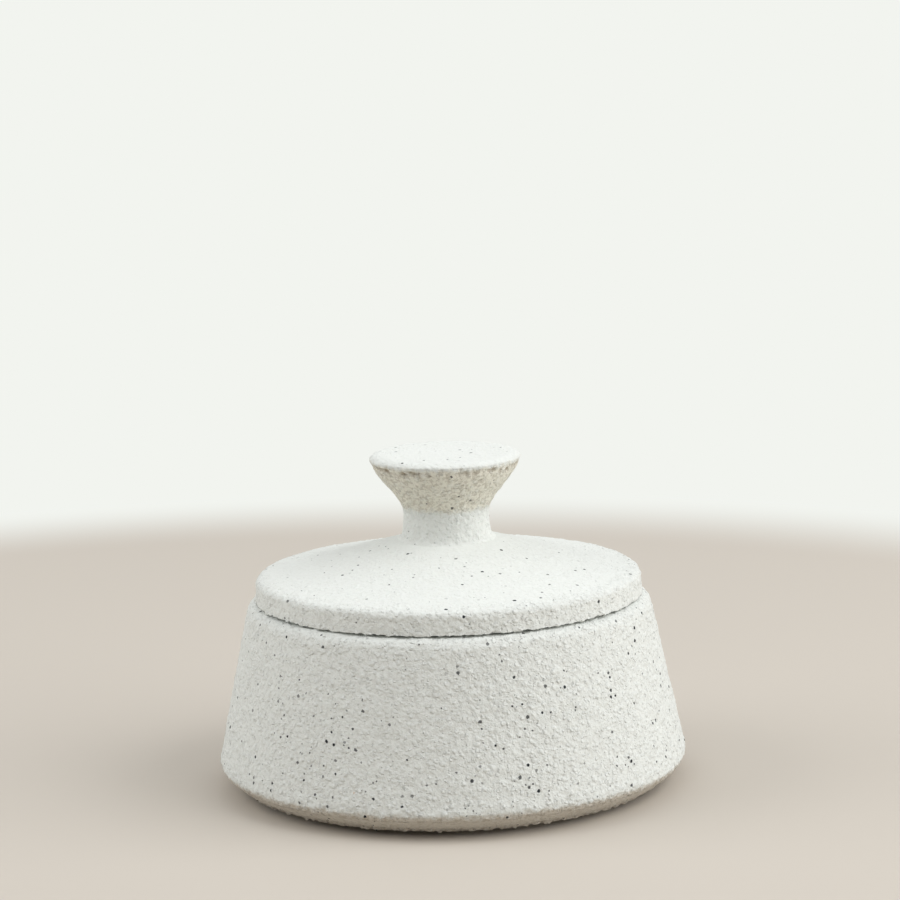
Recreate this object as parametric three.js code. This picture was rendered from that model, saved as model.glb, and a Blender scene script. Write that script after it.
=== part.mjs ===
// Lidded stoneware storage jar: a thrown pot with an undercut base, and a lift-off lid with a spool-shaped knob.
// Millimetres, +Z up. The origin is the centre of the flat underside, on the table.
// Every piece is turned about the Z axis, so each profile is drawn with radius across and height up.
import * as THREE from 'three';

// Pot
const BASE_RADIUS = 63; // lower edge of the undercut
const BASE_ROUND = 0.6; // softened lower edge of the undercut
const FOOT_INSET = 4; // the low foot stands this far inside that edge
const FOOT_HEIGHT = 1; // and lifts it this far off the table
const BELLY_RADIUS = 70; // widest ring, where the undercut meets the wall
const BELLY_HEIGHT = 7; // table to the widest ring
const BELLY_ROUND = 2.2; // reach of the softened belly edge along each side
const RIM_RADIUS = 59.5; // outside of the wall at the rim
const RIM_HEIGHT = 56; // table to the flat top of the rim
const RIM_ROUND = 3; // reach of the rounded outer edge of the rim
const LIP_ROUND = 1.5; // reach of the rounded inner edge of the rim
const WALL = 6; // wall thickness, measured level
const FLOOR = 7; // floor thickness
const FLOOR_ROUND = 9; // reach of the hollow between floor and wall inside

// Lid
const LID_SETBACK = 2; // the lid's edge stands this far inside the outside of the rim
const LID_EDGE = 6.8; // upright edge, from the seat to the shoulder
const LID_EDGE_DRAFT = 0.4; // the edge leans in by this much
const LID_FOOT_ROUND = 0.7; // reach of the rounded lower corner of the edge
const LID_SHOULDER_ROUND = 2.2; // reach of the rounded shoulder
const LID_RISE = 10.2; // shoulder to the seat of the knob
const LID_SAG = 0.7; // the slope dips this far below a straight cone
const LID_WALL = 6; // lid thickness, measured upright

// Locating ring under the lid
const FLANGE_DEPTH = 8; // seat of the lid to the lower edge of the ring
const FLANGE_WALL = 4; // thickness of the ring
const FLANGE_ROUND = 1.2; // reach of its rounded lower edges

// Knob
const KNOB_FOOT_RADIUS = 15; // where the knob spreads onto the lid
const KNOB_FOOT_SPREAD = 1; // height at which the spread foot turns upright
const KNOB_WAIST_RADIUS = 12.5; // narrowest part
const KNOB_WAIST_HEIGHT = 7.1; // foot to the narrowest part
const KNOB_UPRIGHT = 5.3; // how far the waist carries on upright before it flares
const KNOB_RADIUS = 22.2; // outside of the head
const KNOB_HEIGHT = 25; // foot to the flat top
const KNOB_LIP = 1.7; // depth of the head's edge, from the top to the flare
const KNOB_LIP_ROUND = 1.6; // reach of the rounded top edge of the head
const KNOB_FLARE_OUT = 1; // slope of the flare where it meets the head: this far outwards
const KNOB_FLARE_UP = 5.2; // for this much upwards

// Clearances
const LID_SEAT_GAP = 0.3; // the lid sits on the grains of the rough rim
const MOUTH_CLEARANCE = 1; // between the locating ring and the mouth, all round
const SLIP_LINE = 0.3; // layer of slip between two luted pieces

// Fineness of the turned surfaces
const ROUND_SIDES = 60;
const CURVE_STEPS = 4;

// Colours of the fired clay
const POT_CLAY = '#dcdcd5';
const LID_CLAY = '#e2e3dc';
const FLANGE_CLAY = '#e0dfd8';
const KNOB_CLAY = '#dedcd2';
const CLAY_ROUGHNESS = 0.9;

// Radius at a height on the straight line between two points of a profile.
function radiusAtHeight(low, high, height) {
  const share = (height - low.y) / (high.y - low.y);
  return THREE.MathUtils.lerp(low.x, high.x, share);
}

// Height at a radius on the straight line between two points of a profile.
function heightAtRadius(outer, inner, radius) {
  const share = (radius - outer.x) / (inner.x - outer.x);
  return THREE.MathUtils.lerp(outer.y, inner.y, share);
}

// Corners of the pot's profile, before they are rounded
const footCorner = new THREE.Vector2(BASE_RADIUS - FOOT_INSET, 0);
const heelCorner = new THREE.Vector2(footCorner.x, FOOT_HEIGHT);
const baseCorner = new THREE.Vector2(BASE_RADIUS, FOOT_HEIGHT);
const bellyCorner = new THREE.Vector2(BELLY_RADIUS, BELLY_HEIGHT);
const rimCorner = new THREE.Vector2(RIM_RADIUS, RIM_HEIGHT);
const lipCorner = new THREE.Vector2(RIM_RADIUS - WALL, RIM_HEIGHT);
const sideAtFloor = FLOOR < BELLY_HEIGHT ? [baseCorner, bellyCorner] : [bellyCorner, rimCorner];
const floorCorner = new THREE.Vector2(radiusAtHeight(...sideAtFloor, FLOOR) - WALL, FLOOR);

// Where the lid and its ring fit the pot, and the knob fits the lid
const lidSeat = RIM_HEIGHT + LID_SEAT_GAP;
const lidFoot = new THREE.Vector2(RIM_RADIUS - LID_SETBACK, lidSeat);
const lidShoulder = new THREE.Vector2(lidFoot.x - LID_EDGE_DRAFT, lidSeat + LID_EDGE);
const flangeTip = lidSeat - FLANGE_DEPTH;
const narrowestBore = Math.min(lipCorner.x, radiusAtHeight(floorCorner, lipCorner, flangeTip));
const flangeRadius = narrowestBore - MOUTH_CLEARANCE;
const flangeBore = flangeRadius - FLANGE_WALL;
const knobSeat = new THREE.Vector2(KNOB_FOOT_RADIUS, lidShoulder.y + LID_RISE);
const knobBase = knobSeat.y + SLIP_LINE;
const knobTop = knobBase + KNOB_HEIGHT;

// The point that lies a given distance from one point on the way to another.
function stepTowards(from, to, distance) {
  return to.clone().sub(from).setLength(distance).add(from);
}

// Carries a profile on to a corner and rounds it. The curve starts and ends at the given reach from the corner,
// or nearer where the wall on either side is too short for that.
function turnCorner(profile, corner, next, reach) {
  const sideBefore = corner.distanceTo(profile.currentPoint);
  const sideAfter = corner.distanceTo(next);
  const fittingReach = Math.min(reach, 0.95 * sideBefore, 0.5 * sideAfter);
  const start = stepTowards(corner, profile.currentPoint, fittingReach);
  const end = stepTowards(corner, next, fittingReach);
  profile.lineTo(start.x, start.y);
  profile.quadraticCurveTo(corner.x, corner.y, end.x, end.y);
}

// Turns a profile about the Z axis into a named solid.
function turnedPiece(name, profile, clay) {
  const geometry = new THREE.LatheGeometry(profile.getPoints(CURVE_STEPS), ROUND_SIDES);
  geometry.rotateX(Math.PI / 2);
  const material = new THREE.MeshStandardMaterial({ color: clay, roughness: CLAY_ROUGHNESS, metalness: 0 });
  const mesh = new THREE.Mesh(geometry, material);
  mesh.name = name;
  return mesh;
}

// The pot: low foot, undercut base, wall leaning in to a thick rim, and a hollow inside.
function jarBody() {
  const floorCentre = new THREE.Vector2(0, FLOOR);
  const profile = new THREE.Path();
  profile.moveTo(0, 0);
  profile.lineTo(footCorner.x, footCorner.y);
  profile.lineTo(heelCorner.x, heelCorner.y);
  turnCorner(profile, baseCorner, bellyCorner, BASE_ROUND);
  turnCorner(profile, bellyCorner, rimCorner, BELLY_ROUND);
  turnCorner(profile, rimCorner, lipCorner, RIM_ROUND);
  turnCorner(profile, lipCorner, floorCorner, LIP_ROUND);
  turnCorner(profile, floorCorner, floorCentre, FLOOR_ROUND);
  profile.lineTo(floorCentre.x, floorCentre.y);
  return turnedPiece('jar_body', profile, POT_CLAY);
}

// The lid: flat seat on the rim, upright edge, round shoulder, shallow cone, and a hollow underneath.
function lidPlate() {
  const slopePull = lidShoulder.clone().lerp(knobSeat, 0.5);
  slopePull.y -= 2 * LID_SAG;
  const hollowTop = knobSeat.y - LID_WALL;
  const hollowEdge = heightAtRadius(lidShoulder, knobSeat, flangeBore) - LID_WALL;
  const profile = new THREE.Path();
  profile.moveTo(0, hollowTop);
  profile.lineTo(flangeBore, hollowEdge);
  profile.lineTo(flangeBore, lidSeat);
  turnCorner(profile, lidFoot, lidShoulder, LID_FOOT_ROUND);
  turnCorner(profile, lidShoulder, slopePull, LID_SHOULDER_ROUND);
  profile.quadraticCurveTo(slopePull.x, slopePull.y, knobSeat.x, knobSeat.y);
  profile.lineTo(0, knobSeat.y);
  return turnedPiece('lid_plate', profile, LID_CLAY);
}

// The locating ring: luted under the lid, hanging into the mouth of the pot.
function lidFlange() {
  const outerTop = new THREE.Vector2(flangeRadius, lidSeat - SLIP_LINE);
  const innerTop = new THREE.Vector2(flangeBore, lidSeat - SLIP_LINE);
  const outerTip = new THREE.Vector2(flangeRadius, flangeTip);
  const innerTip = new THREE.Vector2(flangeBore, flangeTip);
  const profile = new THREE.Path();
  profile.moveTo(innerTop.x, innerTop.y);
  turnCorner(profile, innerTip, outerTip, FLANGE_ROUND);
  turnCorner(profile, outerTip, outerTop, FLANGE_ROUND);
  profile.lineTo(outerTop.x, outerTop.y);
  profile.lineTo(innerTop.x, innerTop.y);
  return turnedPiece('lid_flange', profile, FLANGE_CLAY);
}

// The knob: spread foot, waist, flare, and a flat head with a round edge.
function lidKnob() {
  const waist = new THREE.Vector2(KNOB_WAIST_RADIUS, knobBase + KNOB_WAIST_HEIGHT);
  const headUnder = new THREE.Vector2(KNOB_RADIUS, knobTop - KNOB_LIP);
  const headEdge = new THREE.Vector2(KNOB_RADIUS, knobTop);
  const headCentre = new THREE.Vector2(0, knobTop);
  const flareStart = new THREE.Vector2(waist.x, waist.y + KNOB_UPRIGHT);
  const flareEnd = new THREE.Vector2(headUnder.x - KNOB_FLARE_OUT, headUnder.y - KNOB_FLARE_UP);
  const profile = new THREE.Path();
  profile.moveTo(0, knobBase);
  profile.lineTo(KNOB_FOOT_RADIUS, knobBase);
  profile.quadraticCurveTo(waist.x, knobBase + KNOB_FOOT_SPREAD, waist.x, waist.y);
  profile.bezierCurveTo(flareStart.x, flareStart.y, flareEnd.x, flareEnd.y, headUnder.x, headUnder.y);
  turnCorner(profile, headEdge, headCentre, KNOB_LIP_ROUND);
  profile.lineTo(headCentre.x, headCentre.y);
  return turnedPiece('lid_knob', profile, KNOB_CLAY);
}

const jar = new THREE.Group();
jar.add(jarBody(), lidPlate(), lidFlange(), lidKnob());

export default jar;
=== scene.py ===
"""The looks of a lidded stoneware jar: coarse speckled clay, a satin glaze inside and a lift-off lid."""

import math

import bmesh
import bpy
from mathutils import Matrix, Vector, geometry, noise


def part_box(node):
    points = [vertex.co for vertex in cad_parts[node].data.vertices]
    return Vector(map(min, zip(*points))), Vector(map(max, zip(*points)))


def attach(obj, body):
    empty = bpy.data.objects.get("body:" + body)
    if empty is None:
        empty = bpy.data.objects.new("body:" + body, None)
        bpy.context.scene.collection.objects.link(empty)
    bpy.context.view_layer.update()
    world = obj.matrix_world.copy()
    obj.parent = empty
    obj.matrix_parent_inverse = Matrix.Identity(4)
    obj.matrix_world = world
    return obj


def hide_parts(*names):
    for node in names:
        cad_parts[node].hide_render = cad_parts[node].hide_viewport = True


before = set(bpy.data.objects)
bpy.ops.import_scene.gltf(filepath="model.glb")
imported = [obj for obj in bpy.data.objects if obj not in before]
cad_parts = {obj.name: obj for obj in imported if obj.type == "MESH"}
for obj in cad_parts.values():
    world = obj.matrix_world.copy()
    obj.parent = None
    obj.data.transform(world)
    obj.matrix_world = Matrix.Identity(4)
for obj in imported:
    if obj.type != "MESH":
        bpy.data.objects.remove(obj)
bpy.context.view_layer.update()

MM = 0.001

KNOB_GRAIN_RISE = 0.4 * MM  # the grains of the knob's head stand this far above the solid
KNOB_GRAIN_REACH = 0.3 * MM  # and this far outside it

# Heights and radii that the frame gives
pot_low, pot_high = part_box("jar_body")
plate_low, plate_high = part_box("lid_plate")
ring_low, ring_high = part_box("lid_flange")
knob_low, knob_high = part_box("lid_knob")
TABLE = pot_low.z
RIM_HEIGHT = pot_high.z
LID_SEAT = plate_low.z
KNOB_SEAT = plate_high.z
RING_RADIUS = ring_high.x
RING_TIP = ring_low.z
KNOB_FOOT = knob_low.z
KNOB_TOP = knob_high.z + KNOB_GRAIN_RISE
KNOB_RADIUS = knob_high.x + KNOB_GRAIN_REACH

# The pot's other sizes
FOOT_RADIUS = 57.5 * MM
FOOT_HEIGHT = 1.4 * MM
FOOT_PAD = 3 * MM  # width of the ring under the foot that is ground flat
FOOT_ROUND = 0.3 * MM
HEEL_ROUND = 0.25 * MM
BASE_RADIUS = 63 * MM
BASE_ROUND = 0.6 * MM
BELLY_RADIUS = 70 * MM
BELLY_HEIGHT = 7 * MM
BELLY_ROUND = 2.0 * MM
RIM_RADIUS = 59.5 * MM
RIM_ROUND = 3 * MM
LIP_ROUND = 1.5 * MM
WALL = 6 * MM
FLOOR_HEIGHT = 7 * MM
FLOOR_ROUND = 9 * MM
CUT_START, CUT_END = 0.3, 0.72  # the undercut is clean between these shares of its length
BELLY_TEAR = 0.09  # share of the wall over which the torn belly edge turns grainy
LIP_DROP = 9 * MM  # the sponged lip ends this far below the top of the rim
LIP_SPREAD = 2 * MM  # where the hollow is this much wider than the mouth

# The lid's other sizes
LID_RADIUS = 57.5 * MM
LID_EDGE = 6.8 * MM
LID_EDGE_DRAFT = 0.4 * MM
LID_EDGE_LIFT = 0.05 * MM  # the worn lower edge stands clear of the rim by this much more than the seat
LID_PAD = 3 * MM  # width of the wiped outer ring of the seat
LID_FOOT_ROUND = 0.3 * MM
LID_FRAY_HEIGHT = 1.6 * MM  # the lower edge is frayed up to here
LID_FRAY_DRAFT = 0.1 * MM
LID_SHOULDER_ROUND = 1.7 * MM
LID_SAG = 0.7 * MM
LID_WALL = 6 * MM
RING_WALL = 4 * MM
RING_ROUND = 1.2 * MM
KNOB_SEAT_RADIUS = 15 * MM
KNOB_FOOT_RADIUS = 14.2 * MM
KNOB_FOOT_SPREAD = 1 * MM
KNOB_FOOT_ROUND = 0.5 * MM
KNOB_WAIST_RADIUS = 12.8 * MM
KNOB_WAIST_HEIGHT = 7.1 * MM
KNOB_UPRIGHT = 5.3 * MM
KNOB_LIP = 2.0 * MM
KNOB_LIP_ROUND = 0.4 * MM
KNOB_LIP_PULL = 0.55  # how far the edge of the head is drawn out to a square corner
KNOB_DOME = 3.4 * MM  # the head falls away over this much of its radius
KNOB_FLARE_OUT = 1 * MM
KNOB_FLARE_UP = 5.2 * MM
SLIP_SINK = 1.2 * MM  # how far luted pieces are pressed into the lid
SLIP_SKIRT = 1.3 * MM  # how far the slip is smeared out round the knob's foot
SLIP_SKIRT_SINK = 0.35 * MM

# Where a trimming tool cut back the coarse skin of the clay
BELLY_TRIM_LINE = 7.3 * MM  # the undercut is trimmed below this height
NECK_TRIM_LINE = 9.6 * MM  # the flare of the knob is trimmed from this height above its foot
HEAD_TRIM_LINE = 2.1 * MM  # to this far below its top
TRIM_DEPTH = 0.2 * MM
TRIM_EDGE = 0.5 * MM  # the cut reaches its depth over this distance
TRIM_SMOOTHING = 0.3  # share of the relief that the tool takes away
TRIM_WANDER_SIZE, TRIM_WANDER = 1.8, 0.8 * MM
BARE_REACH = 2.0  # how far from the trim line, in millimetres, the shader is told of it
HOLLOW_MARGIN = 7 * MM  # the floor inside the pot, which isn't trimmed, lies this far within the base

# The torn groove under the knob's head
GROOVE_LINE = 3.4 * MM  # below the top
GROOVE_REACH = 1.1 * MM  # half its width
GROOVE_DEPTH = 0.85 * MM
GROOVE_WANDER_SIZE, GROOVE_WANDER = 1.4, 0.6  # in millimetres, and as a share of its reach
GROOVE_BREAK_SIZE = 1.9  # in millimetres
GROOVE_LEAST, GROOVE_BREAKS = 0.15, 1.3  # as shares of its depth

# The shallow spiral that fingers leave inside the pot
THROWING_PITCH = 7 * MM
THROWING_HEIGHT = 0.1 * MM
THROWING_DRIFT = 30  # millimetres over which it comes and goes

# The glaze coat inside the pot
GLAZE_COAT = 0.3 * MM
GLAZE_KEY = 0.2 * MM  # how far it is taken up by the clay
GLAZE_LINE = 4.5 * MM  # bare clay between the glaze and the top of the rim
GLAZE_BEAD = 0.5 * MM  # height over which the edge of the coat thickens
GLAZE_BEAD_ROUND = 0.3 * MM

# How coarse the clay is left: 1 is the grainy wall
GROUND_FLAT = 0.0
SMOOTH = 0.08
SCRAPED = 0.16
LUTED = 0.24
WIPED = 0.25
RUBBED = 0.475
SPONGED = 0.5
PATTED = 0.7
GRAINY = 1.0
FRAYED = 1.71
TORN = 1.8
CHIPPED = 2.88

# Spacing of the rows of a turned surface
FINE_ROW = 0.7 * MM
SOFT_ROW = 1.6 * MM
PLAIN_ROW = 5 * MM
CORNER_ROWS = 5
TURN_PARTS = 12  # the turn is made from this many equal parts
MERGE_DISTANCE = 1e-7
ON_AXIS = 1e-6  # a point nearer to the axis than this has no direction of its own
BAKE_MARGIN = 0.004  # empty share round each sector of a bake map

# Size in millimetres and height in metres of the relief on grainy clay
# A reach or radius is a share of the size
SAND_SIZE, SAND_HEIGHT = 1.2, 0.16 * MM
LUMP_SIZE, LUMP_HEIGHT = 3.2, 0.2 * MM
GRAIN_SIZE, GRAIN_REACH, GRAIN_HEIGHT = 2.0, 0.36, 0.22 * MM
SWAY_SIZE, SWAY_HEIGHT = 19.0, 0.2 * MM
CHIP_SIZE, CHIP_HEIGHT = 1.1, 0.6 * MM
PIT_SIZE, PIT_RADIUS, PIT_DEPTH = 9.0, 0.11, 0.3 * MM
DRAG = 0.92  # the grains are drawn out along the turn: their height is this share of their length
BEDDING = 0.2 * MM  # the tops of the grains, not their middles, stand at the outline

# Where each layer of unevenness is read, so that no two line up
NO_SHIFT = Vector((0, 0, 0))
LUMP_SHIFT = Vector((7, 3, 5))
CHIP_SHIFT = Vector((4, 1, 8))
SWAY_SHIFT = Vector((2, 9, 4))
GROOVE_SHIFT = Vector((3, 8, 1))
THROWING_SHIFT = Vector((1, 6, 2))


def colour(red, green, blue):
    """A colour written in the 0 to 255 steps of a picture, as a node takes it."""
    def linear(step):
        share = step / 255
        return share / 12.92 if share <= 0.04045 else ((share + 0.055) / 1.055) ** 2.4
    return linear(red), linear(green), linear(blue), 1.0


def radius_between(low, high, height):
    """Radius at a height on the straight line between two (radius, height) points."""
    share = (height - low[1]) / (high[1] - low[1])
    return low[0] + share * (high[0] - low[0])


def between(start, end, share):
    """The (radius, height) point at a share of the way from one point to another."""
    return start[0] + share * (end[0] - start[0]), start[1] + share * (end[1] - start[1])


def curved_stops(start, pull_a, pull_b, end, count, coarseness):
    """Stops along a curve between two (radius, height) points, without the two ends."""
    points = [Vector((radius, 0, height)) for radius, height in (start, pull_a, pull_b, end)]
    places = geometry.interpolate_bezier(*points, count + 2)
    return [(place.x, place.z, 0, coarseness) for place in places[1:-1]]


def bowed_stops(start, pull, end, count, coarseness):
    """Stops along a curve that one point pulls on, without the two ends."""
    pull_a = between(start, pull, 2 / 3)
    pull_b = between(end, pull, 2 / 3)
    return curved_stops(start, pull_a, pull_b, end, count, coarseness)


def row_spacing(coarseness):
    """How far apart the rows of a surface are: coarse clay needs close ones."""
    if coarseness >= SPONGED:
        return FINE_ROW
    return SOFT_ROW if coarseness >= WIPED else PLAIN_ROW


def outline_wire(form, stops):
    """Draws an outline through its stops, rounds its corners and divides it into rows."""
    grit = form.verts.layers.float.new("grit")
    corners = []
    for radius, height, _, coarseness in stops:
        corner = form.verts.new((radius, 0, height))
        corner[grit] = coarseness
        corners.append(corner)
    for here, there in zip(corners, corners[1:]):
        form.edges.new((here, there))
    for corner, (_, _, reach, _) in zip(corners, stops):
        if reach:
            bmesh.ops.bevel(
                form, geom=[corner], offset=reach, offset_type="OFFSET", affect="VERTICES",
                segments=CORNER_ROWS, profile=0.5, material=-1,
            )
    for edge in list(form.edges):
        row = row_spacing(max(vert[grit] for vert in edge.verts))
        cuts = math.ceil(edge.calc_length() / row) - 1
        if cuts > 0:
            bmesh.ops.subdivide_edges(form, edges=[edge], cuts=cuts)
    return grit


def measure_outline(form, grit):
    """Measures along the outline, with smooth stretches shortened: the layer and the whole length."""
    along = form.verts.layers.float.new("along")
    here = next(vert for vert in form.verts if len(vert.link_edges) == 1)
    edge = here.link_edges[0]
    while edge is not None:
        there = edge.other_vert(here)
        share = max(WIPED, min(GRAINY, (here[grit] + there[grit]) / 2))
        there[along] = here[along] + share * edge.calc_length()
        here = there
        edge = next((link for link in here.link_edges if link is not edge), None)
    return along, here[along]


def lay_out_flat(form, along, length, sectors):
    """Gives the turned surface its bake map: the turn is cut into sectors, which are stacked."""
    layer = form.loops.layers.uv.new("OFBake")
    sector_angle = math.tau / sectors
    used = 1 - 2 * BAKE_MARGIN
    for face in form.faces:
        centre = face.calc_center_median()
        middle = math.atan2(centre.y, centre.x) % math.tau
        sector = int(middle / sector_angle)
        for loop in face.loops:
            place = loop.vert.co
            angle = middle
            if place.xy.length > ON_AXIS:
                turn = math.atan2(place.y, place.x) - middle
                angle = middle + (turn + math.pi) % math.tau - math.pi
            across = angle / sector_angle - sector
            up = loop.vert[along] / length
            loop[layer].uv = (BAKE_MARGIN + across * used, (sector + BAKE_MARGIN + up * used) / sectors)


def unevenness(spot, size, shift=NO_SHIFT):
    """Smooth noise from -1 to 1 at a spot, with features of a given size. Both are in millimetres."""
    return noise.noise(spot / size + shift)


def clay_relief(place, coarseness):
    """Height of coarse clay at a place: sand, lumps, grains, pits and sway, and chips on a torn edge."""
    spot = place / MM
    dragged = Vector((spot.x * DRAG, spot.y * DRAG, spot.z))
    sand = unevenness(dragged, SAND_SIZE) * SAND_HEIGHT
    lumps = unevenness(dragged, LUMP_SIZE, LUMP_SHIFT) * LUMP_HEIGHT
    distances, _ = noise.voronoi(dragged / GRAIN_SIZE)
    grain = max(0.0, 1 - (distances[0] / GRAIN_REACH) ** 2) * GRAIN_HEIGHT
    distances, _ = noise.voronoi(spot / PIT_SIZE)
    pit = max(0.0, 1 - distances[0] / PIT_RADIUS) * PIT_DEPTH
    chips = unevenness(spot, CHIP_SIZE, CHIP_SHIFT) * CHIP_HEIGHT
    sway = unevenness(spot, SWAY_SIZE, SWAY_SHIFT) * SWAY_HEIGHT
    even = min(GRAINY, coarseness)
    return (sand + lumps + grain - pit + sway - BEDDING) * even + chips * (coarseness - even)


def turn_outline(form, steps):
    """Turns the outline through one part of the turn, copies that part round and joins the copies."""
    part_angle = math.tau / TURN_PARTS
    turn = {"cent": (0, 0, 0), "axis": (0, 0, 1), "dvec": (0, 0, 0)}
    bmesh.ops.spin(
        form, geom=form.verts[:] + form.edges[:], angle=part_angle, steps=steps // TURN_PARTS, **turn
    )
    bmesh.ops.spin(
        form, geom=form.verts[:] + form.edges[:] + form.faces[:], angle=math.tau - part_angle,
        steps=TURN_PARTS - 1, use_duplicate=True, **turn
    )


def roughen(form, grit, inside_trim, tooling):
    """Gives a turned surface its relief, and notes where it is trimmed bare and how deep it is torn,
    which the clay's colour darkens as painted shade with some dust.
    """
    bare = form.verts.layers.float.new("bare")
    deep = form.verts.layers.float.new("deep")
    moves = []
    for vert in form.verts:
        rise = clay_relief(vert.co, vert[grit])
        vert[bare] = -BARE_REACH
        if inside_trim:
            depth = inside_trim(vert.co) + unevenness(vert.co / MM, TRIM_WANDER_SIZE) * TRIM_WANDER
            share = max(0.0, min(1.0, 0.5 + depth / TRIM_EDGE))
            rise = rise * (1 - TRIM_SMOOTHING * share) - TRIM_DEPTH * share * min(GRAINY, vert[grit])
            vert[bare] = max(-BARE_REACH, min(BARE_REACH, depth / MM))
        if tooling:
            mark = tooling(vert.co)
            rise += mark
            vert[deep] = max(0.0, -mark / MM)
        moves.append(vert.normal * rise)
    for vert, move in zip(form.verts, moves):
        vert.co += move
        vert.co.z = max(vert.co.z, TABLE)


def turned_piece(name, stops, steps, sectors, inside_trim=None, tooling=None):
    """Turns an outline about the upright axis, roughens it and returns the piece."""
    form = bmesh.new()
    grit = outline_wire(form, stops)
    along, length = measure_outline(form, grit)
    turn_outline(form, steps)
    lay_out_flat(form, along, length, sectors)
    bmesh.ops.remove_doubles(form, verts=form.verts[:], dist=MERGE_DISTANCE)
    bmesh.ops.recalc_face_normals(form, faces=form.faces[:])
    form.normal_update()
    roughen(form, grit, inside_trim, tooling)
    mesh = bpy.data.meshes.new(name)
    form.to_mesh(mesh)
    form.free()
    mesh.shade_smooth()
    piece = bpy.data.objects.new(name, mesh)
    bpy.context.scene.collection.objects.link(piece)
    return piece


def throwing_rings(place):
    """The shallow spiral that fingers leave inside a thrown pot."""
    turn = math.atan2(place.y, place.x)
    travel = place.xy.length - place.z
    wave = math.sin(math.tau * travel / THROWING_PITCH + turn)
    return wave * THROWING_HEIGHT * unevenness(place / MM, THROWING_DRIFT, THROWING_SHIFT)


def pot_trim(place):
    """How far a place lies inside the trimmed base of the pot."""
    if place.xy.length < BASE_RADIUS - HOLLOW_MARGIN and place.z > TABLE:
        return -BARE_REACH * MM
    return BELLY_TRIM_LINE - place.z


def torn_groove(place):
    """The ragged groove that the trimming tool tore under the head of the knob."""
    spot = place / MM
    off_line = (place.z - (KNOB_TOP - GROOVE_LINE)) / GROOVE_REACH
    off_line += GROOVE_WANDER * unevenness(spot, GROOVE_WANDER_SIZE)
    breaks = GROOVE_BREAKS * unevenness(spot, GROOVE_BREAK_SIZE, GROOVE_SHIFT)
    return -GROOVE_DEPTH * max(0.0, GROOVE_LEAST + breaks) * max(0.0, 1 - off_line ** 2)


def knob_trim(place):
    """How far a place lies inside the trimmed flare of the knob."""
    above_neck = place.z - (KNOB_FOOT + NECK_TRIM_LINE)
    below_head = KNOB_TOP - HEAD_TRIM_LINE - place.z
    return min(above_neck, below_head)


# Outlines, as stops of (radius, height, corner reach, coarseness)

BELLY = (BELLY_RADIUS, BELLY_HEIGHT)
RIM = (RIM_RADIUS, RIM_HEIGHT)
LIP = (RIM_RADIUS - WALL, RIM_HEIGHT)
FLOOR_RADIUS = radius_between(BELLY, RIM, FLOOR_HEIGHT) - WALL
RING_BORE = RING_RADIUS - RING_WALL


def pot_stops():
    """Underside, low foot, undercut base, leaning wall, rim and the hollow inside."""
    base = (BASE_RADIUS, TABLE + FOOT_HEIGHT)
    return [
        (0, TABLE, 0, SMOOTH),
        (FOOT_RADIUS - FOOT_PAD, TABLE, 0, GROUND_FLAT),
        (FOOT_RADIUS, TABLE, FOOT_ROUND, GROUND_FLAT),
        (FOOT_RADIUS, base[1], HEEL_ROUND, WIPED),
        (*base, BASE_ROUND, CHIPPED),
        (*between(base, BELLY, CUT_START), 0, SPONGED),
        (*between(base, BELLY, CUT_END), 0, SPONGED),
        (*BELLY, BELLY_ROUND, TORN),
        (*between(BELLY, RIM, BELLY_TEAR), 0, GRAINY),
        (*RIM, RIM_ROUND, GRAINY),
        (*between(RIM, LIP, 0.5), 0, SPONGED),
        (*LIP, LIP_ROUND, SPONGED),
        (LIP[0] + LIP_SPREAD, LIP[1] - LIP_DROP, 0, SMOOTH),
        (FLOOR_RADIUS, FLOOR_HEIGHT, FLOOR_ROUND, SMOOTH),
        (0, FLOOR_HEIGHT, 0, SMOOTH),
    ]


def glaze_stops():
    """The coat of glaze: its back is taken up by the clay, and its edge stops short of the rim."""
    line_height = RIM_HEIGHT - GLAZE_LINE
    line_radius = radius_between((FLOOR_RADIUS, FLOOR_HEIGHT), LIP, line_height)
    return [
        (0, FLOOR_HEIGHT - GLAZE_KEY, 0, SMOOTH),
        (FLOOR_RADIUS + GLAZE_KEY, FLOOR_HEIGHT - GLAZE_KEY, FLOOR_ROUND, SMOOTH),
        (line_radius + GLAZE_KEY, line_height, 0, SMOOTH),
        (line_radius - GLAZE_COAT, line_height - GLAZE_BEAD, GLAZE_BEAD_ROUND, SMOOTH),
        (FLOOR_RADIUS - GLAZE_COAT, FLOOR_HEIGHT + GLAZE_COAT, FLOOR_ROUND, SMOOTH),
        (0, FLOOR_HEIGHT + GLAZE_COAT, 0, SMOOTH),
    ]


def plate_stops():
    """The lid: hollow underside, flat seat, upright edge, round shoulder and shallow cone."""
    shoulder = (LID_RADIUS - LID_EDGE_DRAFT, LID_SEAT + LID_EDGE)
    knob_edge = (KNOB_SEAT_RADIUS, KNOB_SEAT)
    middle = between(shoulder, knob_edge, 0.5)
    dip = (middle[0], middle[1] - 2 * LID_SAG)
    above_ring = (RING_BORE - shoulder[0]) / (knob_edge[0] - shoulder[0])
    hollow_edge = between(shoulder, knob_edge, above_ring)[1] - LID_WALL
    return [
        (0, KNOB_SEAT - LID_WALL, 0, SMOOTH),
        (RING_BORE, hollow_edge, 0, SMOOTH),
        (RING_BORE, LID_SEAT, 0, SCRAPED),
        (LID_RADIUS - LID_PAD, LID_SEAT, 0, WIPED),
        (LID_RADIUS, LID_SEAT + LID_EDGE_LIFT, LID_FOOT_ROUND, FRAYED),
        (LID_RADIUS - LID_FRAY_DRAFT, LID_SEAT + LID_FRAY_HEIGHT, 0, GRAINY),
        (*shoulder, LID_SHOULDER_ROUND, GRAINY),
        *bowed_stops(shoulder, dip, knob_edge, count=7, coarseness=RUBBED),
        (*knob_edge, 0, WIPED),
        (0, KNOB_SEAT, 0, SMOOTH),
    ]


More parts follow.
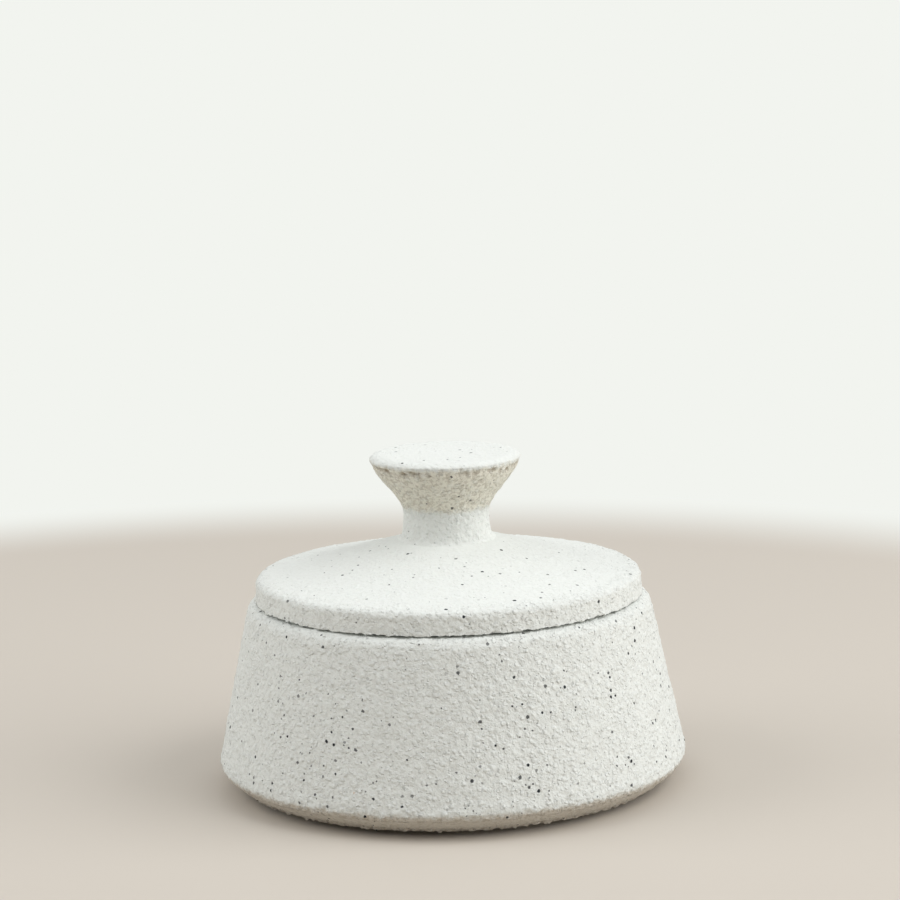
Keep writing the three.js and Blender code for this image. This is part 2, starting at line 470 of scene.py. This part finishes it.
def ring_stops():
    """The locating ring under the lid, with its top pressed into the lid."""
    top = LID_SEAT + SLIP_SINK
    return [
        (RING_BORE, top, 0, SMOOTH),
        (RING_BORE, RING_TIP, RING_ROUND, SPONGED),
        (RING_RADIUS, RING_TIP, RING_ROUND, SPONGED),
        (RING_RADIUS, top, 0, LUTED),
        (RING_BORE, top, 0, SMOOTH),
    ]


def knob_stops():
    """The knob: foot pressed into the lid, waist, flare, and a flat head with a round edge."""
    foot = (KNOB_FOOT_RADIUS, KNOB_FOOT)
    waist = (KNOB_WAIST_RADIUS, KNOB_FOOT + KNOB_WAIST_HEIGHT)
    turn = (KNOB_WAIST_RADIUS, KNOB_FOOT + KNOB_FOOT_SPREAD)
    head_under = (KNOB_RADIUS, KNOB_TOP - KNOB_LIP)
    flare_a = (waist[0], waist[1] + KNOB_UPRIGHT)
    flare_b = (head_under[0] - KNOB_FLARE_OUT, head_under[1] - KNOB_FLARE_UP)
    head_corner = (KNOB_RADIUS, KNOB_TOP)
    head_flat = (KNOB_RADIUS - KNOB_DOME, KNOB_TOP)
    lip_a = between(head_under, head_corner, KNOB_LIP_PULL)
    lip_b = between(head_flat, head_corner, KNOB_LIP_PULL)
    skirt = (foot[0] + SLIP_SKIRT, KNOB_SEAT - SLIP_SKIRT_SINK)
    underside = KNOB_SEAT - 2 * SLIP_SINK
    return [
        (0, underside, 0, SMOOTH),
        (skirt[0], underside, 0, SMOOTH),
        (*skirt, 0, WIPED),
        (*foot, KNOB_FOOT_ROUND, SPONGED),
        *bowed_stops(foot, turn, waist, count=4, coarseness=PATTED),
        (*waist, 0, PATTED),
        *curved_stops(waist, flare_a, flare_b, head_under, count=7, coarseness=GRAINY),
        (*head_under, KNOB_LIP_ROUND, GRAINY),
        *curved_stops(head_under, lip_a, lip_b, head_flat, count=5, coarseness=SPONGED),
        (*head_flat, 0, SPONGED),
        (0, KNOB_TOP, 0, WIPED),
    ]


# Finishes

CLAY = colour(229, 232, 228)
# painted shade: the darker colour laid into the hollows between the grains of the wall
CLAY_PAINTED_SHADE = colour(186, 182, 172)
PALE_GRAIN = colour(242, 244, 241)
BARE_POT = colour(210, 204, 193)
BARE_KNOB = colour(230, 227, 214)
# painted shade: the darker, warmer colour laid into the hollows of trimmed clay
BARE_PAINTED_SHADE = colour(158, 147, 129)
SPECK = colour(46, 49, 52)
FAINT_SPECK = colour(150, 152, 150)
RUST = colour(200, 152, 104)
GLAZE = colour(232, 232, 226)
GLAZE_CLOUD = colour(224, 225, 217)

# What is scattered through the clay: spacing, smallest radius and largest radius
LARGE_SPECKS = 2.7 * MM, 0.3 * MM, 0.62 * MM
SMALL_SPECKS = 2.1 * MM, 0.18 * MM, 0.36 * MM
FAINT_SPECKS = 4.4 * MM, 0.3 * MM, 0.65 * MM
RUST_SPOTS = 9.0 * MM, 0.25 * MM, 0.5 * MM
COARSE_GRAINS = 1.8 * MM, 0.45 * MM, 0.95 * MM
SMALL_GRAINS = 1.15 * MM, 0.28 * MM, 0.56 * MM
PINHOLES = 1.9 * MM, 0.2 * MM, 0.5 * MM

# How much of that is there, as a share
SMALL_SPECK_SHARE = 0.25
FAINT_SPECK_SHARE = 0.5
RUST_SHARE = 0.12
COARSE_GRAIN_SHARE = 0.8
SMALL_GRAIN_SHARE = 0.7
PINHOLE_SHARE = 0.4

# How the specks look
SPECK_EDGE = 0.16 * MM  # width of their soft edge
SPECK_RAGGED_SIZE, SPECK_RAGGED_REACH = 0.7 * MM, 0.6 * MM
CROWD_SIZE, CROWD_FADE = 11 * MM, (0.35, 0.65)  # patches where they crowd together
CROWD_GAPS = 0.3  # share that is left between the patches
SPECK_FAINTEST, SPECK_VARIETY = 0.6, 0.6  # darkness of the faintest, and how much the others add
SMALL_SPECK_DARKNESS = 0.9

# How the fine grain looks, with each height as a share of the bump's
FINE_SAND_SIZE, FINE_SAND_HEIGHT, FINE_SAND_ROUGHNESS = 1.1 * MM, 0.8, 0.6
LOW_SAND_FADE = 0.55, 0.35  # painted shade: the sand is darkened where it lies low
GRAIN_RAGGED_SIZE, GRAIN_RAGGED_REACH = 0.9 * MM, 0.8 * MM
COARSE_GRAIN_HEIGHT = 0.5
SMALL_GRAIN_HEIGHT = 0.8  # as a share of a coarse grain
PINHOLE_DEPTH = 0.4
DRAG_MARK_SIZE, DRAG_MARK_STRETCH, DRAG_MARK_FADE = 0.6 * MM, 0.28, (0.66, 0.78)
DRAG_MARK_DEPTH = 0.4  # as a share of a pinhole
TOOL_MARK_SIZE = 0.8 * MM
TOOL_MARK_TURN = 3.2 * MM  # how far the marks change in one radian of the turn

# How raw clay looks
FRAY_SIZE, FRAY_REACH = 0.7 * MM, 1.2  # the trim line is frayed and fades; its reach is in millimetres
TRIMMED_GRIP = 1.3  # trimmed clay shows its grain this much more
HOLLOW_PAINTED_SHADE, TRIMMED_PAINTED_SHADE = 0.2, 0.42  # how strongly painted shade darkens the hollows, on the wall and on trimmed clay
PALE_GRAIN_TINT = 0.2
RUST_TINT = 0.4
FAINT_SPECK_TINT = 0.4
TOOL_MARK_HEIGHT = 0.3  # as a share of the bump's
CLAY_BUMP = 0.62 * MM
CLAY_ROUGHNESS = 0.92
CLAY_SHINE = 0.25

# How the glaze looks
GLAZE_SPECK_AMOUNT = 0.7
GLAZE_SPECK_TINT = 0.6
GLAZE_CLOUD_SIZE, GLAZE_CLOUD_FADE = 14 * MM, (0.3, 0.7)
GLAZE_RIPPLE_SIZE, GLAZE_RIPPLE_HEIGHT, GLAZE_RIPPLE_STRENGTH = 2.2 * MM, 0.05 * MM, 0.35
GLAZE_SMOOTHEST, GLAZE_ROUGHEST, GLAZE_ROUGH_FADE = 0.28, 0.4, (0.2, 0.8)


def node(tree, kind, **values):
    """Adds a node and sets its properties."""
    made = tree.nodes.new(kind)
    for name, value in values.items():
        setattr(made, name, value)
    return made


def wire(tree, *pairs):
    """Links outputs to inputs."""
    for source, target in pairs:
        tree.links.new(source, target)


def maths(tree, operation, first, second=None, third=None, clamp=False):
    """A sum on values: each is a number or an output."""
    made = tree.nodes.new("ShaderNodeMath")
    made.operation = operation
    made.use_clamp = clamp
    for socket, value in zip(made.inputs, (first, second, third)):
        if value is None:
            continue
        if isinstance(value, (int, float)):
            socket.default_value = value
        else:
            tree.links.new(value, socket)
    return made.outputs[0]


def fade(tree, value, start, end, low=0.0, high=1.0):
    """A smooth step from low to high as the value goes from start to end."""
    made = tree.nodes.new("ShaderNodeMapRange")
    made.interpolation_type = "SMOOTHSTEP"
    numbers = (start, end, low, high)
    tree.links.new(value, made.inputs["Value"])
    for name, number in zip(("From Min", "From Max", "To Min", "To Max"), numbers):
        made.inputs[name].default_value = number
    return made.outputs["Result"]


def mixed(tree, share, first, second):
    """A colour between two: each is a colour or an output."""
    made = tree.nodes.new("ShaderNodeMix")
    made.data_type = "RGBA"
    inputs = {socket.identifier: socket for socket in made.inputs}
    for identifier, value in (("Factor_Float", share), ("A_Color", first), ("B_Color", second)):
        if isinstance(value, (tuple, float)):
            inputs[identifier].default_value = value
        else:
            tree.links.new(value, inputs[identifier])
    return next(socket for socket in made.outputs if socket.identifier == "Result_Color")


def tinted(tree, ground, mask, share, tint):
    """A ground colour with a share of a tint laid on where the mask is 1."""
    return mixed(tree, maths(tree, "MULTIPLY", mask, share), ground, tint)


def noise_value(tree, place, size, detail=2.0, roughness=0.5):
    """Soft noise with features of a given size."""
    made = tree.nodes.new("ShaderNodeTexNoise")
    made.inputs["Scale"].default_value = 1 / size
    made.inputs["Detail"].default_value = detail
    made.inputs["Roughness"].default_value = roughness
    tree.links.new(place, made.inputs["Vector"])
    return made.outputs["Fac"]


def cells(tree, place, size):
    """Scattered points at a given spacing: the distance to the nearest, and its three random values."""
    made = tree.nodes.new("ShaderNodeTexVoronoi")
    made.inputs["Scale"].default_value = 1 / size
    parts = tree.nodes.new("ShaderNodeSeparateColor")
    wire(tree, (place, made.inputs["Vector"]), (made.outputs["Color"], parts.inputs[0]))
    return made.outputs["Distance"], parts.outputs


def new_group(name, inputs, outputs):
    """An empty shader node group with named sockets, and its input and output nodes."""
    group = bpy.data.node_groups.new(name, "ShaderNodeTree")
    for socket, kind in inputs:
        group.interface.new_socket(socket, in_out="INPUT", socket_type=kind)
    for socket, kind in outputs:
        group.interface.new_socket(socket, in_out="OUTPUT", socket_type=kind)
    return group, group.nodes.new("NodeGroupInput"), group.nodes.new("NodeGroupOutput")


def stretched(tree, place, share):
    """The place, with its level measures cut to a share, so that shapes are drawn out along the turn."""
    made = node(tree, "ShaderNodeVectorMath", operation="MULTIPLY")
    made.inputs[1].default_value = (share, share, 1.0)
    tree.links.new(place, made.inputs[0])
    return made.outputs[0]


def ragged(tree, place, size, reach):
    """The place, shifted by noise, so that round shapes get ragged outlines."""
    wobble = node(tree, "ShaderNodeTexNoise")
    wobble.inputs["Scale"].default_value = 1 / size
    shift = node(tree, "ShaderNodeVectorMath", operation="MULTIPLY_ADD")
    shift.inputs[1].default_value = (reach,) * 3
    wire(
        tree,
        (place, wobble.inputs["Vector"]),
        (wobble.outputs["Color"], shift.inputs[0]),
        (place, shift.inputs[2]),
    )
    return shift.outputs[0]


def scattered(tree, place, sizes, share):
    """Round bits at random: the nearest one's distance and radius, if it is there, and a random value."""
    spacing, least, most = sizes
    distance, chance = cells(tree, place, spacing)
    radius = maths(tree, "MULTIPLY_ADD", chance[0], (most - least) / spacing, least / spacing)
    present = maths(tree, "LESS_THAN", chance[1], share)
    return distance, radius, present, chance[2]


def speck_layer(tree, place, sizes, share):
    """Specks scattered through the clay: a mask where the surface cuts them, and a random value."""
    distance, radius, present, depth = scattered(tree, place, sizes, share)
    inside = maths(tree, "SUBTRACT", radius, distance)
    edge = fade(tree, inside, 0.0, SPECK_EDGE / sizes[0])
    return maths(tree, "MULTIPLY", edge, present), depth


def scattered_humps(tree, place, sizes, share):
    """Humps scattered over the clay: how far each stands out, from 0 to 1."""
    distance, radius, present, _ = scattered(tree, place, sizes, share)
    off_middle = maths(tree, "DIVIDE", distance, radius)
    fall = maths(tree, "MULTIPLY", off_middle, off_middle)
    hump = maths(tree, "SUBTRACT", 1.0, fall, clamp=True)
    return maths(tree, "MULTIPLY", hump, present)


def iron_specks_group():
    """Dark iron specks, fainter ones just under the surface, and a few rusty ones."""
    group, start, end = new_group(
        "iron_specks",
        [("Place", "NodeSocketVector"), ("Amount", "NodeSocketFloat")],
        [("Dark", "NodeSocketFloat"), ("Faint", "NodeSocketFloat"), ("Rust", "NodeSocketFloat")],
    )
    amount = start.outputs["Amount"]
    place = ragged(group, start.outputs["Place"], SPECK_RAGGED_SIZE, SPECK_RAGGED_REACH)
    crowd = fade(group, noise_value(group, place, CROWD_SIZE), *CROWD_FADE, low=CROWD_GAPS)
    large, depth = speck_layer(group, place, LARGE_SPECKS, maths(group, "MULTIPLY", crowd, amount))
    darkness = maths(group, "MULTIPLY_ADD", depth, SPECK_VARIETY, SPECK_FAINTEST, clamp=True)
    large_dark = maths(group, "MULTIPLY", large, darkness)
    small_share = maths(group, "MULTIPLY", amount, SMALL_SPECK_SHARE)
    small, _ = speck_layer(group, place, SMALL_SPECKS, small_share)
    small_dark = maths(group, "MULTIPLY", small, SMALL_SPECK_DARKNESS)
    faint, _ = speck_layer(group, place, FAINT_SPECKS, FAINT_SPECK_SHARE)
    rust, _ = speck_layer(group, place, RUST_SPOTS, RUST_SHARE)
    wire(
        group,
        (maths(group, "MAXIMUM", large_dark, small_dark), end.inputs["Dark"]),
        (faint, end.inputs["Faint"]),
        (rust, end.inputs["Rust"]),
    )
    return group


def clay_grain_group():
    """Sandy clay with coarse grains and pinholes: its height, its hollows, which the clay's colour fills
    with painted shade, and its pale grains.
    """
    group, start, end = new_group(
        "clay_grain",
        [("Place", "NodeSocketVector"), ("Grit", "NodeSocketFloat")],
        [("Height", "NodeSocketFloat"), ("Hollow", "NodeSocketFloat"), ("Pale", "NodeSocketFloat")],
    )
    grit = start.outputs["Grit"]
    place = stretched(group, start.outputs["Place"], DRAG)
    broken = ragged(group, place, GRAIN_RAGGED_SIZE, GRAIN_RAGGED_REACH)
    coarse = scattered_humps(group, broken, COARSE_GRAINS, COARSE_GRAIN_SHARE)
    small = scattered_humps(group, broken, SMALL_GRAINS, SMALL_GRAIN_SHARE)
    grains = maths(group, "MAXIMUM", coarse, maths(group, "MULTIPLY", small, SMALL_GRAIN_HEIGHT))
    pinholes = scattered_humps(group, place, PINHOLES, PINHOLE_SHARE)
    streaks = stretched(group, place, DRAG_MARK_STRETCH)
    drag = fade(group, noise_value(group, streaks, DRAG_MARK_SIZE, detail=1.0), *DRAG_MARK_FADE)
    dents = maths(group, "MULTIPLY_ADD", drag, DRAG_MARK_DEPTH, pinholes)
    sand = noise_value(group, place, FINE_SAND_SIZE, roughness=FINE_SAND_ROUGHNESS)
    bed = maths(group, "MULTIPLY", sand, FINE_SAND_HEIGHT)
    dented = maths(group, "MULTIPLY_ADD", dents, -PINHOLE_DEPTH, bed)
    relief = maths(group, "MULTIPLY_ADD", grains, COARSE_GRAIN_HEIGHT, dented)
    # painted shade: low-lying sand between the grains and the dents are marked for darkening
    low_sand = fade(group, sand, *LOW_SAND_FADE)
    gaps = maths(group, "MULTIPLY", low_sand, maths(group, "SUBTRACT", 1.0, grains))
    hollow = maths(group, "MAXIMUM", gaps, dents)
    wire(
        group,
        (maths(group, "MULTIPLY", relief, grit), end.inputs["Height"]),
        (maths(group, "MULTIPLY", hollow, grit, clamp=True), end.inputs["Hollow"]),
        (maths(group, "MULTIPLY", grains, grit, clamp=True), end.inputs["Pale"]),
    )
    return group


def tool_marks_group():
    """Fine rings that a trimming tool leaves: a height that changes little round the turn."""
    group, start, end = new_group(
        "tool_marks", [("Place", "NodeSocketVector")], [("Height", "NodeSocketFloat")]
    )
    parts = node(group, "ShaderNodeSeparateXYZ")
    group.links.new(start.outputs["Place"], parts.inputs[0])
    flat = node(group, "ShaderNodeCombineXYZ")
    wire(group, (parts.outputs[0], flat.inputs[0]), (parts.outputs[1], flat.inputs[1]))
    radius = node(group, "ShaderNodeVectorMath", operation="LENGTH")
    group.links.new(flat.outputs[0], radius.inputs[0])
    track = node(group, "ShaderNodeCombineXYZ")
    turn = maths(group, "ARCTAN2", parts.outputs[1], parts.outputs[0])
    slow_turn = maths(group, "MULTIPLY", turn, TOOL_MARK_TURN)
    wire(
        group,
        (radius.outputs["Value"], track.inputs[0]),
        (slow_turn, track.inputs[1]),
        (parts.outputs[2], track.inputs[2]),
    )
    group.links.new(noise_value(group, track.outputs[0], TOOL_MARK_SIZE), end.inputs["Height"])
    return group


IRON_SPECKS = iron_specks_group()
CLAY_GRAIN = clay_grain_group()
TOOL_MARKS = tool_marks_group()


def new_material(name):
    """A material with an empty node tree but for its output, and a Principled shader."""
    material = bpy.data.materials.new(name)
    material.use_nodes = True
    tree = material.node_tree
    tree.nodes.clear()
    output = tree.nodes.new("ShaderNodeOutputMaterial")
    shader = tree.nodes.new("ShaderNodeBsdfPrincipled")
    tree.links.new(shader.outputs["BSDF"], output.inputs["Surface"])
    return material, tree, shader


def placed(tree, group, place):
    """Puts a node group in a tree and tells it the place."""
    made = tree.nodes.new("ShaderNodeGroup")
    made.node_tree = group
    tree.links.new(place, made.inputs["Place"])
    return made


def surface_value(tree, name):
    """A value that a piece's mesh carries, such as how coarse its clay is."""
    return node(tree, "ShaderNodeAttribute", attribute_name=name).outputs["Fac"]


def raw_clay(name, bare_clay, speck_amount):
    """Unglazed coarse clay: speckled, grainy and matt, warmer where it was trimmed, with painted shade
    darkening its hollows and wherever it is cut deep.
    """
    material, tree, shader = new_material(name)
    place = node(tree, "ShaderNodeTexCoord").outputs["Object"]
    fray = maths(tree, "MULTIPLY_ADD", noise_value(tree, place, FRAY_SIZE, detail=1.0), 2.0, -1.0)
    frayed = maths(tree, "ADD", surface_value(tree, "bare"), fray)
    trimmed = fade(tree, frayed, -FRAY_REACH, FRAY_REACH)
    even_grit = maths(tree, "MINIMUM", surface_value(tree, "grit"), GRAINY)
    grip = maths(tree, "MULTIPLY", even_grit, fade(tree, trimmed, 0.0, 1.0, 1.0, TRIMMED_GRIP))
    specks = placed(tree, IRON_SPECKS, place)
    specks.inputs["Amount"].default_value = speck_amount
    grain = placed(tree, CLAY_GRAIN, place)
    marks = placed(tree, TOOL_MARKS, place)
    tree.links.new(grip, grain.inputs["Grit"])
    body = mixed(tree, trimmed, CLAY, bare_clay)
    # painted shade: the hollows between the grains are darkened towards a shade colour, more on trimmed
    # clay
    shade = mixed(tree, trimmed, CLAY_PAINTED_SHADE, BARE_PAINTED_SHADE)
    hollow_shade_strength = fade(tree, trimmed, 0.0, 1.0, HOLLOW_PAINTED_SHADE, TRIMMED_PAINTED_SHADE)
    # painted shade with some dust: the torn groove is darkened by how deep it is cut
    groove_shade = surface_value(tree, "deep")
    painted_shade_mask = maths(tree, "MULTIPLY_ADD", grain.outputs["Hollow"], hollow_shade_strength, groove_shade, clamp=True)
    shaded_clay = mixed(tree, painted_shade_mask, body, shade)
    grained = tinted(tree, shaded_clay, grain.outputs["Pale"], PALE_GRAIN_TINT, PALE_GRAIN)
    rusted = tinted(tree, grained, specks.outputs["Rust"], RUST_TINT, RUST)
    clouded = tinted(tree, rusted, specks.outputs["Faint"], FAINT_SPECK_TINT, FAINT_SPECK)
    speckled = mixed(tree, specks.outputs["Dark"], clouded, SPECK)
    rings = maths(tree, "MULTIPLY", marks.outputs["Height"], trimmed)
    relief = maths(tree, "MULTIPLY_ADD", rings, TOOL_MARK_HEIGHT, grain.outputs["Height"])
    bump = node(tree, "ShaderNodeBump")
    bump.inputs["Strength"].default_value = 1.0
    bump.inputs["Distance"].default_value = CLAY_BUMP
    wire(
        tree,
        (speckled, shader.inputs["Base Color"]),
        (relief, bump.inputs["Height"]),
        (bump.outputs["Normal"], shader.inputs["Normal"]),
    )
    shader.inputs["Roughness"].default_value = CLAY_ROUGHNESS
    shader.inputs["Specular IOR Level"].default_value = CLAY_SHINE
    return material


def satin_glaze(name):
    """The glaze inside: satin, a little uneven, with the clay's specks showing through."""
    material, tree, shader = new_material(name)
    place = node(tree, "ShaderNodeTexCoord").outputs["Object"]
    specks = placed(tree, IRON_SPECKS, place)
    specks.inputs["Amount"].default_value = GLAZE_SPECK_AMOUNT
    cloud = noise_value(tree, place, GLAZE_CLOUD_SIZE, detail=3.0)
    toned = mixed(tree, fade(tree, cloud, *GLAZE_CLOUD_FADE), GLAZE_CLOUD, GLAZE)
    roughness = fade(tree, cloud, *GLAZE_ROUGH_FADE, GLAZE_SMOOTHEST, GLAZE_ROUGHEST)
    speckled = tinted(tree, toned, specks.outputs["Dark"], GLAZE_SPECK_TINT, FAINT_SPECK)
    bump = node(tree, "ShaderNodeBump")
    bump.inputs["Strength"].default_value = GLAZE_RIPPLE_STRENGTH
    bump.inputs["Distance"].default_value = GLAZE_RIPPLE_HEIGHT
    wire(
        tree,
        (speckled, shader.inputs["Base Color"]),
        (roughness, shader.inputs["Roughness"]),
        (noise_value(tree, place, GLAZE_RIPPLE_SIZE), bump.inputs["Height"]),
        (bump.outputs["Normal"], shader.inputs["Normal"]),
    )
    return material


# Pieces

def finish_piece(piece, material, body, slot, *nodes):
    """Gives a piece its finish, the body that it rides on and the CAD nodes that it stands for."""
    piece.data.materials.append(material)
    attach(piece, body)
    if nodes:
        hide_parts(*nodes)


pot_clay = raw_clay("pot_raw_clay", BARE_POT, speck_amount=0.85)
lid_clay = raw_clay("lid_raw_clay", BARE_KNOB, speck_amount=0.5)
knob_clay = raw_clay("knob_raw_clay", BARE_KNOB, speck_amount=0.3)
glaze = satin_glaze("satin_glaze")

pot = turned_piece("stoneware_pot", pot_stops(), steps=576, sectors=3, inside_trim=pot_trim)
liner = turned_piece("glaze_liner", glaze_stops(), steps=240, sectors=3, tooling=throwing_rings)
plate = turned_piece("stoneware_lid", plate_stops(), steps=600, sectors=3)
ring = turned_piece("locating_ring", ring_stops(), steps=360, sectors=4)
knob = turned_piece(
    "stoneware_knob", knob_stops(), steps=288, sectors=2, inside_trim=knob_trim, tooling=torn_groove
)

finish_piece(pot, pot_clay, "jar", "pot_clay", "jar_body")
finish_piece(liner, glaze, "jar", "pot_clay")
finish_piece(plate, lid_clay, "lid", "lid_clay", "lid_plate")
finish_piece(ring, lid_clay, "lid", "lid_clay", "lid_flange")
finish_piece(knob, knob_clay, "lid", "lid_clay", "lid_knob")


# Studio

BACKDROP = colour(242, 244, 239)
FLOOR_TONE = colour(202, 195, 185)
STUDIO_FLOOR_RADIUS = 3.0
STUDIO_FLOOR_SIDES = 96
STUDIO_FLOOR_ROUGHNESS = 0.8
STUDIO_FLOOR_SHINE = 0.1
FADE_CENTRE = (-0.06, 0.0, 0.0)
FADE_START = 0.37  # the floor is plain up to this distance
FADE_END = 0.47  # and has become the backdrop at this one

# The camera, worked out from the jar's ellipses in the photograph
CAMERA_PLACE = (0, -908.8 * MM, 253.9 * MM)
CAMERA_PITCH = math.radians(9.646)  # downwards
CAMERA_YAW = math.radians(0.10)  # to the right
CAMERA_ROLL = math.radians(-1.6)
CAMERA_LENS = 124.95
CAMERA_SENSOR = 36


def background_rays(tree):
    """1 for a ray that sees the backdrop, straight, mirrored or through something, and 0 for light."""
    rays = node(tree, "ShaderNodeLightPath")
    seen = maths(tree, "ADD", rays.outputs["Is Camera Ray"], rays.outputs["Is Glossy Ray"])
    return maths(tree, "ADD", seen, rays.outputs["Is Transmission Ray"], clamp=True)


def studio_floor():
    """A pale floor that fades into the backdrop with distance."""
    form = bmesh.new()
    bmesh.ops.create_circle(form, cap_ends=True, segments=STUDIO_FLOOR_SIDES, radius=STUDIO_FLOOR_RADIUS)
    mesh = bpy.data.meshes.new("studio_floor")
    form.to_mesh(mesh)
    form.free()
    floor = bpy.data.objects.new("studio_floor", mesh)
    bpy.context.scene.collection.objects.link(floor)
    material, tree, shader = new_material("studio_floor")
    shader.inputs["Base Color"].default_value = FLOOR_TONE
    shader.inputs["Roughness"].default_value = STUDIO_FLOOR_ROUGHNESS
    shader.inputs["Specular IOR Level"].default_value = STUDIO_FLOOR_SHINE
    place = node(tree, "ShaderNodeTexCoord").outputs["Object"]
    distance = node(tree, "ShaderNodeVectorMath", operation="DISTANCE")
    distance.inputs[1].default_value = FADE_CENTRE
    tree.links.new(place, distance.inputs[0])
    far = fade(tree, distance.outputs["Value"], FADE_START, FADE_END)
    glow = node(tree, "ShaderNodeEmission")
    glow.inputs["Color"].default_value = BACKDROP
    blend = node(tree, "ShaderNodeMixShader")
    output = next(made for made in tree.nodes if made.type == "OUTPUT_MATERIAL")
    wire(
        tree,
        (maths(tree, "MULTIPLY", far, background_rays(tree)), blend.inputs[0]),
        (shader.outputs["BSDF"], blend.inputs[1]),
        (glow.outputs["Emission"], blend.inputs[2]),
        (blend.outputs[0], output.inputs["Surface"]),
    )
    mesh.materials.append(material)


def studio_world(level_strength, overhead_strength):
    """Light from all round, stronger from overhead, with the backdrop's colour where it is seen."""
    world = bpy.data.worlds.new("studio")
    world.use_nodes = True
    tree = world.node_tree
    tree.nodes.clear()
    output = tree.nodes.new("ShaderNodeOutputWorld")
    light = node(tree, "ShaderNodeBackground")
    direction = node(tree, "ShaderNodeSeparateXYZ")
    tree.links.new(node(tree, "ShaderNodeTexCoord").outputs["Generated"], direction.inputs[0])
    upward = maths(tree, "MAXIMUM", direction.outputs["Z"], 0.0)
    gain = overhead_strength - level_strength
    tree.links.new(maths(tree, "MULTIPLY_ADD", upward, gain, level_strength), light.inputs["Strength"])
    backdrop = node(tree, "ShaderNodeBackground")
    backdrop.inputs["Color"].default_value = BACKDROP
    blend = node(tree, "ShaderNodeMixShader")
    wire(
        tree,
        (background_rays(tree), blend.inputs[0]),
        (light.outputs["Background"], blend.inputs[1]),
        (backdrop.outputs["Background"], blend.inputs[2]),
        (blend.outputs[0], output.inputs["Surface"]),
    )
    bpy.context.scene.world = world


def soft_box(name, place, size, watts):
    """A square soft light aimed at the middle of the jar's mouth."""
    lamp = bpy.data.lights.new(name, "AREA")
    lamp.shape = "SQUARE"
    lamp.size = size
    lamp.energy = watts
    light = bpy.data.objects.new(name, lamp)
    light.visible_camera = False
    light.location = place
    aim = Vector((0, 0, RIM_HEIGHT)) - Vector(place)
    light.rotation_mode = "QUATERNION"
    light.rotation_quaternion = aim.to_track_quat("-Z", "Y")
    bpy.context.scene.collection.objects.link(light)


def photo_camera():
    """The camera where the photograph was taken from."""
    level_ahead = Vector((math.sin(CAMERA_YAW), math.cos(CAMERA_YAW), 0))
    level_right = Vector((math.cos(CAMERA_YAW), -math.sin(CAMERA_YAW), 0))
    ahead = math.cos(CAMERA_PITCH) * level_ahead - math.sin(CAMERA_PITCH) * Vector((0, 0, 1))
    level_up = level_right.cross(ahead)
    right = math.cos(CAMERA_ROLL) * level_right + math.sin(CAMERA_ROLL) * level_up
    up = math.cos(CAMERA_ROLL) * level_up - math.sin(CAMERA_ROLL) * level_right
    camera = bpy.data.objects.new("photo_camera", bpy.data.cameras.new("photo_camera"))
    camera.data.sensor_width = CAMERA_SENSOR
    camera.data.lens = CAMERA_LENS
    camera.matrix_world = Matrix((right, up, -ahead)).transposed().to_4x4()
    camera.location = CAMERA_PLACE
    bpy.context.scene.collection.objects.link(camera)
    bpy.context.scene.camera = camera


studio_floor()
studio_world(level_strength=0.08, overhead_strength=0.77)
soft_box("top_light", place=(0.0, 0.4, 1.25), size=2.0, watts=4.0)
soft_box("right_light", place=(1.2, -0.4, 0.9), size=1.6, watts=21.2)
soft_box("left_light", place=(-1.2, -0.1, 0.85), size=1.2, watts=9.4)
photo_camera()
bpy.context.scene.view_settings.view_transform = "Standard"
